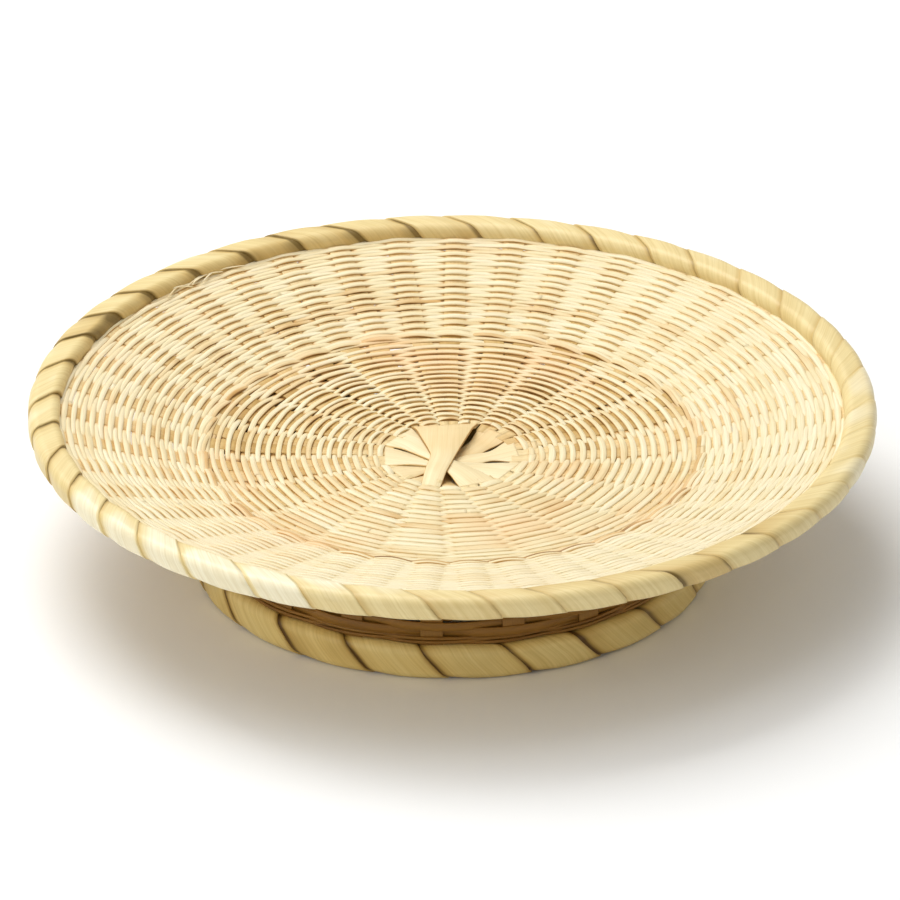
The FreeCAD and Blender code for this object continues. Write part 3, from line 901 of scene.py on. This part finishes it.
def make_wraps():
    rim = Splints(np.random.default_rng(SEED + 60))
    add_wrap(
        rim, RIM_OUT_R - RIM_HALF_W, RIM_Z, RIM_HALF_W, RIM_HALF_H, RIM_CORNER, turns=WALL_STAKES,
        start_deg=3.0, sway=(0.11, math.pi / 2), edge=rim_edge, inner_shade=rim_inner_shade, painted_light=rim_painted_light,
    )
    rim.build("rim_winding", wrap_material, [f"rim_wrap_{i}" for i in (1, 2, 3, 4)])
    foot = Splints(np.random.default_rng(SEED + 70))
    half_h = FOOT_BAND_H / 2
    add_wrap(
        foot, FOOT_R, half_h, FOOT_HALF_W, half_h, FOOT_CORNER, turns=20, start_deg=14.4, sway=(0.0, 0.0),
        edge=np.ones_like, inner_shade=np.zeros_like, painted_light=np.zeros_like,
    )
    foot.build("foot_winding", foot_wrap_material, [f"foot_wrap_{i}" for i in (1, 2, 3, 4)])


# Foot

FOOT_STAKE_W = 8.0
FOOT_STAKE_Z = (2.2, 43.4)
FOOT_SPLINT_HALF_T = 0.42
FOOT_COURSE = 3.3
FOOT_COURSE_HALF_W = 1.66
FOOT_CREST = 0.85
FOOT_WALL = (16.6, 42.4)
FOOT_TWINED_Z = (13.75, 15.35)


def foot_frame(degrees, z, offset):
    """Points on the foot's wall, moved out by an offset, and the unit vectors up it and out of it."""
    a = np.radians(degrees)
    out = np.stack([np.cos(a), np.sin(a), np.zeros_like(a)], -1)
    up = np.broadcast_to(np.array([0.0, 0.0, 1.0]), out.shape)
    centre = out * (FOOT_R + np.asarray(offset))[:, None] + up * np.asarray(z)[:, None]
    return centre, up, out


def make_foot_stakes():
    for stake in range(FOOT_STAKES):
        rng = np.random.default_rng(SEED + 80 + stake)
        splints = Splints(rng)
        angle = stake * 360.0 / FOOT_STAKES
        z = np.linspace(*FOOT_STAKE_Z, 60)
        turn = (z - FOOT_WALL[0]) / FOOT_COURSE - angle / 360.0
        offset = -0.2 * np.cos(math.pi * (turn + stake)) * smooth(z, 15, 18)
        centre, up, out = foot_frame(np.full_like(z, angle), z, offset)
        tone = 0.35 + wander(rng, z, 0.12, 12.0)
        splints.sweep(centre, np.cross(out, up), out, FOOT_STAKE_W / 2, FOOT_SPLINT_HALF_T, tone, FLAT)
        number = f"{stake + 1:02d}"
        splints.build(f"foot_rib_{number}", foot_weft_shaded_material, [f"foot_stake_{number}"])


def make_foot_weft():
    """Two bands, of which the lower one starts flat on the twined rows, and the upper one ends early."""
    bottom, top = FOOT_WALL
    middle = (bottom + top) / 2
    for band, (low, high) in enumerate(((bottom, middle), (middle, top))):
        rng = np.random.default_rng(SEED + 110 + band)
        splints = Splints(rng)
        here, end = (360.0 * (z - bottom) / FOOT_COURSE for z in (low, high))
        here -= 0.0 if band else 330.0
        end -= 200.0 if band else 0.0
        while here < end:
            stop = min(here + rng.uniform(0.6, 1.4) * 360.0, end)
            stop = end if end - stop < 90 else stop
            degrees = np.linspace(here, stop, int((stop - here) / 1.3) + 8)
            z = bottom + 1.2 + degrees / 360.0 * FOOT_COURSE + wander(rng, degrees, 0.22, 25.0)
            z = np.maximum(z, bottom + 0.9)
            wave = flat_wave(degrees * FOOT_STAKES / 360.0, 1.4)
            centre, up, out = foot_frame(degrees, z, wave * FOOT_CREST)
            wide = FOOT_COURSE_HALF_W + wander(rng, degrees, 0.16, 40.0)
            tone = rng.normal(0.5, 0.15) + wander(rng, degrees, 0.1, 20.0)
            splints.sweep(centre, up, out, wide, FOOT_SPLINT_HALF_T, tone, FLAT)
            here = stop
        number = band + 1
        splints.build(f"foot_courses_{number}", foot_weft_shaded_material, [f"foot_weft_{number}"])


def make_foot_twining():
    """Two rows just above the foot's band, each of two strands that twist round the stakes."""
    rng = np.random.default_rng(SEED + 120)
    splints = Splints(rng)
    for z in FOOT_TWINED_Z:
        for strand in (0, 1):
            degrees = np.linspace(0, 360, FOOT_STAKES * 16)
            turn = math.pi * (degrees * FOOT_STAKES / 360.0 + strand)
            height = z + 0.3 * np.sin(turn) + wander(rng, degrees, 0.08, 12.0)
            centre, up, out = foot_frame(degrees, height, np.cos(turn) * 0.75)
            tone = 0.45 + wander(rng, degrees, 0.12, 12.0)
            splints.sweep(centre, up, out, 0.62, 0.55, tone)
    splints.build("foot_twined_rows", foot_weft_shaded_material, ["foot_twining"])


def dress_hoops():
    for node in ("rim_upper_hoop", "rim_lower_hoop", "foot_inner_hoop", "foot_outer_hoop"):
        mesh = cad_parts[node].data
        mesh.materials.clear()
        mesh.materials.append(hoop_material)


# The stage


def make_stage():
    bpy.ops.mesh.primitive_plane_add(size=8.0, location=(0, 0, 0))
    floor = bpy.context.object
    floor.name = "floor"
    material = Nodes("pale_floor")
    material.shader.inputs["Base Color"].default_value = (0.93, 0.93, 0.92, 1)
    material.shader.inputs["Roughness"].default_value = 0.8
    floor.data.materials.append(material.material)
    world = bpy.data.worlds.new("studio")
    bpy.context.scene.world = world
    world.use_nodes = True
    background = world.node_tree.nodes["Background"]
    background.inputs["Color"].default_value = (1, 1, 1, 1)
    background.inputs["Strength"].default_value = 0.45


def add_light(name, azimuth, elevation, distance, size, power):
    """A square softbox that faces the tray: angles in degrees, lengths in metres, power in watts."""
    a, e = math.radians(azimuth), math.radians(elevation)
    data = bpy.data.lights.new(name, "AREA")
    data.size = size
    data.energy = power
    light = bpy.data.objects.new(name, data)
    place = Vector((math.cos(a) * math.cos(e), math.sin(a) * math.cos(e), math.sin(e))) * distance
    light.location = place
    light.rotation_euler = (-place).to_track_quat("-Z", "Y").to_euler()
    bpy.context.scene.collection.objects.link(light)


def make_camera():
    """Seen from the front and 27 degrees above, from far off through a very long lens.

    The view is 318 mm wide at the target.
    """
    elevation = math.radians(27.4)
    distance = 13.7
    view_width = 0.3179
    target = Vector((-0.0008, 0, 0.0443))
    data = bpy.data.cameras.new("camera")
    data.lens = data.sensor_width * distance / view_width
    data.clip_end = 100.0
    camera = bpy.data.objects.new("camera", data)
    back = Vector((0, -math.cos(elevation), math.sin(elevation)))
    camera.location = target + back * distance
    camera.rotation_euler = (-back).to_track_quat("-Z", "Y").to_euler()
    bpy.context.scene.collection.objects.link(camera)
    bpy.context.scene.camera = camera


make_strips()
make_floor_weft()
make_corner_weft()
make_wall_weft()
make_wraps()
make_foot_stakes()
make_foot_weft()
make_foot_twining()
dress_hoops()
make_stage()
add_light("key", azimuth=125.0, elevation=60.0, distance=1.6, size=1.1, power=17.0)
add_light("top", azimuth=215.0, elevation=78.0, distance=1.5, size=1.0, power=6.0)
add_light("fill", azimuth=225.0, elevation=28.0, distance=1.8, size=0.9, power=5.4)
make_camera()
bpy.context.scene.view_settings.view_transform = "Standard"
